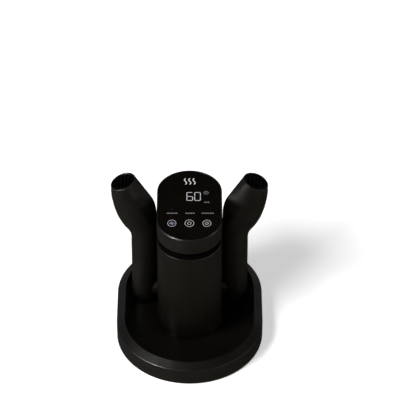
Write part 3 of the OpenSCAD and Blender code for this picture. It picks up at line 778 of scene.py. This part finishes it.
def duct_half(part):
    """Closed shell of the duct's front half (part = -1) or rear half (part = 1)."""
    sides, foot_steps, straight_steps, steps_per_span, rim_steps = 60, 6, 10, 7, 8
    foot_r, groove, groove_turn, short_of_mouth = 3.0, 0.25, 0.012, 0.08
    angles = [part * math.pi * k / sides for k in range(sides + 1)]
    angles.insert(1, part * groove_turn)
    angles.insert(-1, part * (math.pi - groove_turn))
    low = TRAY_FLOOR + SEAT_GAP

    # Outside, upwards: the rounded foot, the straight part and the bent head
    rings = []
    for k in range(foot_steps + 1):
        turn = math.pi / 2 * k / foot_steps
        at = straight_cut(low + foot_r * (1 - math.cos(turn)), foot_r * (1 - math.sin(turn)))
        rings.append(duct_ring(at, angles, 0, groove))
    for k in range(1, straight_steps):
        z = low + foot_r + (HEAD_START - 2 - low - foot_r) * k / straight_steps
        rings.append(duct_ring(straight_cut(z), angles, 0, groove))
    last = len(STATIONS) - 2 - short_of_mouth
    count = steps_per_span * (len(STATIONS) - 3)
    bends = [station(1 + (last - 1) * k / count) for k in range(count + 1)]
    rings += [duct_ring(at, angles, 0, groove) for at in bends]

    # Over the rounded rim of the mouth, and back down inside
    rim = DUCT_WALL / 2
    mouth_way = Vector((math.sin(MOUTH_TILT), 0, math.cos(MOUTH_TILT)))
    for k in range(1, rim_steps + 1):
        turn = math.pi * k / rim_steps
        rise = mouth_way * rim * 0.8 * math.sin(turn)
        rings.append([Vector(p) + rise
                      for p in duct_ring(bends[-1], angles, rim * (1 - math.cos(turn)))])
    rings += [duct_ring(at, angles, DUCT_WALL) for at in bends[-2::-1]]
    for z in (HEAD_START - 30, TRAY_FLOOR + 30, TRAY_FLOOR + 2.5):
        rings.append(duct_ring(straight_cut(z), angles, DUCT_WALL))

    # The loft closes the foot below and inside; one U-shaped face closes the parting plane
    verts, faces = loft(rings, across=False)
    outer_seam = [i * len(angles) for i in range(len(rings))]
    inner_seam = [i + len(angles) - 1 for i in outer_seam]
    faces.append(tuple(outer_seam + inner_seam[::-1]))
    return verts, faces


def collar_half(part):
    """Half of the short tube through which the tower feeds the duct, rooted in its wall."""
    steps, root_depth = 36, 1.0

    def root(radius, away):
        return DUCT_X - math.sqrt(DUCT_R ** 2 - (radius * away) ** 2) + root_depth

    rings = []
    for k in range(steps + 1):
        angle = part * math.pi * k / steps
        up, away = math.cos(angle), math.sin(angle)
        section = ((COLLAR_X, PORT_R), (COLLAR_X, COLLAR_R), (root(COLLAR_R, away), COLLAR_R),
                   (root(PORT_R, away), PORT_R))
        rings.append([(x, DUCT_Y + away * radius, PORT_Z + up * radius) for x, radius in section])
    return loft(rings)


def ducts():
    """Front and rear half of each duct with its collar."""
    for part, half in ((-1, "front"), (1, "rear")):
        shape = merge([duct_half(part), collar_half(part)])
        for side, word in ((-1, "left"), (1, "right")):
            shell = add_mesh(f"{word}_duct_{half}_shell", mirrored(shape, side), 45)
            finish(shell, "shell", [f"{word}_duct_{half}"])


def nozzle_grilles():
    """Domed outlets with five round-ended slots, set into the mouths."""
    seat_r = MOUTH_R - DUCT_WALL - 0.1
    dome_r, thick, edge_h, sunk = 34.0, 1.8, 1.5, 4.0
    slot_w, slot_pitch, steps = 2.8, 5.2, 20
    centre_z = edge_h - math.sqrt(dome_r ** 2 - seat_r ** 2)
    section = []
    for k in range(steps + 1):
        reach = (seat_r - 0.4) * k / steps
        section.append(Vector((reach, centre_z + math.sqrt(dome_r ** 2 - reach ** 2))))
    section.append(Vector((seat_r, section[-1].y - 0.6)))
    for k in range(steps, -1, -1):
        reach = seat_r * k / steps
        section.append(Vector((reach, centre_z + math.sqrt((dome_r - thick) ** 2 - reach ** 2))))
    dome = turned(section, across=False)
    slots = []
    for i in range(-2, 3):
        away = i * slot_pitch
        long = 2 * math.sqrt((seat_r - 3) ** 2 - away ** 2)
        slots.append(soft_box((slot_w, long, 20), slot_w * 0.45, (away, 0, 4), steps=5))
    place = (Matrix.Translation((MOUTH_X, DUCT_Y, MOUTH_Z))
             @ Matrix.Rotation(MOUTH_TILT, 4, "Y") @ Matrix.Translation((0, 0, -sunk)))
    for side, word in ((-1, "left"), (1, "right")):
        grille = add_mesh(f"{word}_nozzle_grille_dome", mirrored(placed(dome, place), side), 35)
        cut(grille, mirrored(placed(merge(slots), place), side), 35)
        finish(grille, "trim", [f"{word}_nozzle_grille"])


# ---------- mains inlet ----------


def rectangle_reach(wide, high, angle):
    """Distance from the middle to the edge of a rectangle with softened corners."""
    x, z = abs(math.cos(angle)) / (wide / 2), abs(math.sin(angle)) / (high / 2)
    return (x ** 9 + z ** 9) ** (-1 / 9)


def eight_reach(radius, straight, waist, angle):
    """Distance from the middle to the edge of a figure-eight opening."""
    across, up = abs(math.cos(angle)), abs(math.sin(angle))
    if radius * across < straight * up:
        reach = radius / up
    else:
        reach = straight * across + math.sqrt(radius ** 2 - (straight * up) ** 2)
    return reach - waist * math.exp(-(reach * across / (0.45 * straight)) ** 2)


def mains_inlet():
    """Figure-eight appliance inlet: body, flange and funnelled recess."""
    middle_z = (inlet_low.z + inlet_high.z) / 2
    front, back = inlet_high.y, inlet_low.y
    wide, high = inlet_high.x - inlet_low.x, inlet_high.z - inlet_low.z
    body_w, body_h, body_front = 24.0, 16.0, back + 18.0
    recess_r, recess_s, waist, recess_deep = 4.4, 4.0, 0.7, 13.4
    sides, edge_steps, edge_r = 96, 4, 0.6
    outlines = [(back, body_w - 1, body_h - 1), (back + 0.5, body_w, body_h),
                (body_front, body_w, body_h), (body_front, wide, high)]
    for k in range(edge_steps + 1):
        turn = math.pi / 2 * k / edge_steps
        shrink = 2 * edge_r * (1 - math.cos(turn))
        outlines.append((front - edge_r + edge_r * math.sin(turn), wide - shrink, high - shrink))
    angles = [2 * math.pi * k / sides for k in range(sides)]
    reaches = [(y, [rectangle_reach(w, h, a) for a in angles]) for y, w, h in outlines]
    for y, grow in ((front, 0.9), (front - 0.5, 0.3), (front - 1.4, 0), (front - recess_deep, 0)):
        reaches.append((y, [eight_reach(recess_r + grow, recess_s, waist, a) for a in angles]))
    rings = [[(r * math.cos(a), y, middle_z + r * math.sin(a)) for r, a in zip(reach, angles)]
             for y, reach in reaches]
    finish(add_mesh("mains_inlet_socket", loft(rings), 35), "trim", ["mains_inlet"])


# ---------- stage, lights and camera ----------


def stage():
    """Wide pale paper that glows a little, like a lit studio sweep; returns it."""
    half = 9000
    floor = add_mesh("studio_floor", ([(-half, -half, 0), (half, -half, 0), (half, half, 0),
                                       (-half, half, 0)], [(0, 1, 2, 3)]))
    paper = Finish("pale_paper")
    paper.link(paper.ramp(paper.noise(0.002, 2), 0.80, 0.82), paper.shader.inputs["Base Color"])
    paper.set(Roughness=0.9, Specular_IOR_Level=0.0, Emission_Color=(1.0, 1.0, 1.0, 1),
              Emission_Strength=0.54)
    floor.data.materials.append(paper.material)
    floor.visible_glossy = False
    return floor


def add_sun(name, strength, towards, softness=22.0, bounces=0):
    """Distant soft light from the given direction; without bounces it lights only directly."""
    data = bpy.data.lights.new(name, "SUN")
    data.energy = strength
    data.angle = math.radians(softness)
    data.cycles.max_bounces = bounces
    light = bpy.data.objects.new(name, data)
    bpy.context.scene.collection.objects.link(light)
    light.rotation_euler = (-Vector(towards)).to_track_quat("-Z", "Y").to_euler()
    return light


def light_only(light, objects):
    """Lets a light reach these objects alone."""
    reached = bpy.data.collections.new(light.name + "_reaches")
    for obj in objects:
        reached.objects.link(obj)
    light.light_linking.receiver_collection = reached


def studio_world():
    """Dim room, paler above the horizon and, below it, on the left."""
    world = bpy.data.worlds.new("studio")
    bpy.context.scene.world = world
    world.use_nodes = True
    tree = world.node_tree

    def add(kind, *sources, **settings):
        """New node with its first inputs joined to the sources."""
        node = tree.nodes.new(kind)
        for key, value in settings.items():
            setattr(node, key, value)
        for source, socket in zip(sources, node.inputs):
            tree.links.new(source, socket)
        return node

    def ramp(value, stops):
        """Grey strength over a direction's component, from stops between -1 and 1."""
        scaled = add("ShaderNodeMapRange", value)
        scaled.inputs["From Min"].default_value = -1.0
        node = add("ShaderNodeValToRGB", scaled.outputs[0])
        while len(node.color_ramp.elements) < len(stops):
            node.color_ramp.elements.new(1.0)
        for element, (at, strength) in zip(node.color_ramp.elements, stops):
            element.position = (at + 1) / 2
            element.color = (strength, strength, strength, 1)
        return node.outputs["Color"]

    way = add("ShaderNodeSeparateXYZ", add("ShaderNodeTexCoord").outputs["Generated"])
    room = ramp(way.outputs["Z"], ((-0.02, 0.0), (0.02, 0.18), (0.35, 0.18), (0.45, 0.01),
                                   (0.75, 0.01), (0.85, 0.03)))
    sides = ramp(way.outputs["X"], ((-0.35, 0.04), (-0.2, 0.0), (0.2, 0.0), (0.35, 0.01)))
    below = ramp(way.outputs["Z"], ((-0.02, 1.0), (0.02, 0.0)))
    lower = add("ShaderNodeMath", sides, below, operation="MULTIPLY")
    total = add("ShaderNodeMath", room, lower.outputs[0], operation="ADD")
    tree.links.new(total.outputs[0], tree.nodes["Background"].inputs["Color"])


GLINT_PIECES = ("base_tray_moulding", "cap_moulding", "left_duct_front_shell",
                "left_duct_rear_shell")


def lighting(floor):
    """Soft lights on the object, two that only glint on its rims, and one for its shadow."""
    studio_world()
    add_sun("key", 0.50, (-0.75, -0.35, 0.95), 10.0)
    add_sun("right", 0.20, (1.0, -0.1, 0.45))
    add_sun("front_right", 0.20, (0.75, -0.7, 0.3))
    add_sun("low_left", 0.39, (-1.0, -0.35, 0.12))
    add_sun("low_front", 0.15, (-0.8, -0.6, 0.15))
    for glint in (add_sun("edge_glint", 3.6, (-0.76, -0.60, 0.27), 2.0),
                  add_sun("lip_sheen", 0.8, (-0.655, -0.372, 0.658), 3.0)):
        glint.visible_diffuse = False
        light_only(glint, [bpy.data.objects[name] for name in GLINT_PIECES])
    shadow = add_sun("shadow_key", 3.1, (-0.74, -0.60, 0.82), 24.0, 8)
    light_only(shadow, [floor])


def camera():
    """Long lens, 40 degrees above the horizon, straight in front of the dryer; lengths in m."""
    down = math.radians(40.4)
    distance = 3.1337
    target = Vector((0.0145, 0.0, 0.2218))
    data = bpy.data.cameras.new("camera")
    data.sensor_width = 36.0
    data.lens = 207.0
    data.clip_end = 50.0
    cam = bpy.data.objects.new("camera", data)
    bpy.context.scene.collection.objects.link(cam)
    cam.location = target + Vector((0, -math.cos(down), math.sin(down))) * distance
    cam.rotation_euler = (math.pi / 2 - down, 0, 0)
    bpy.context.scene.camera = cam


camera()
finish_cad_nodes()
base_tray()
tower()
intake_grille()
cap()
panel()
ducts()
nozzle_grilles()
mains_inlet()
lighting(stage())
bpy.context.scene.view_settings.view_transform = "Standard"
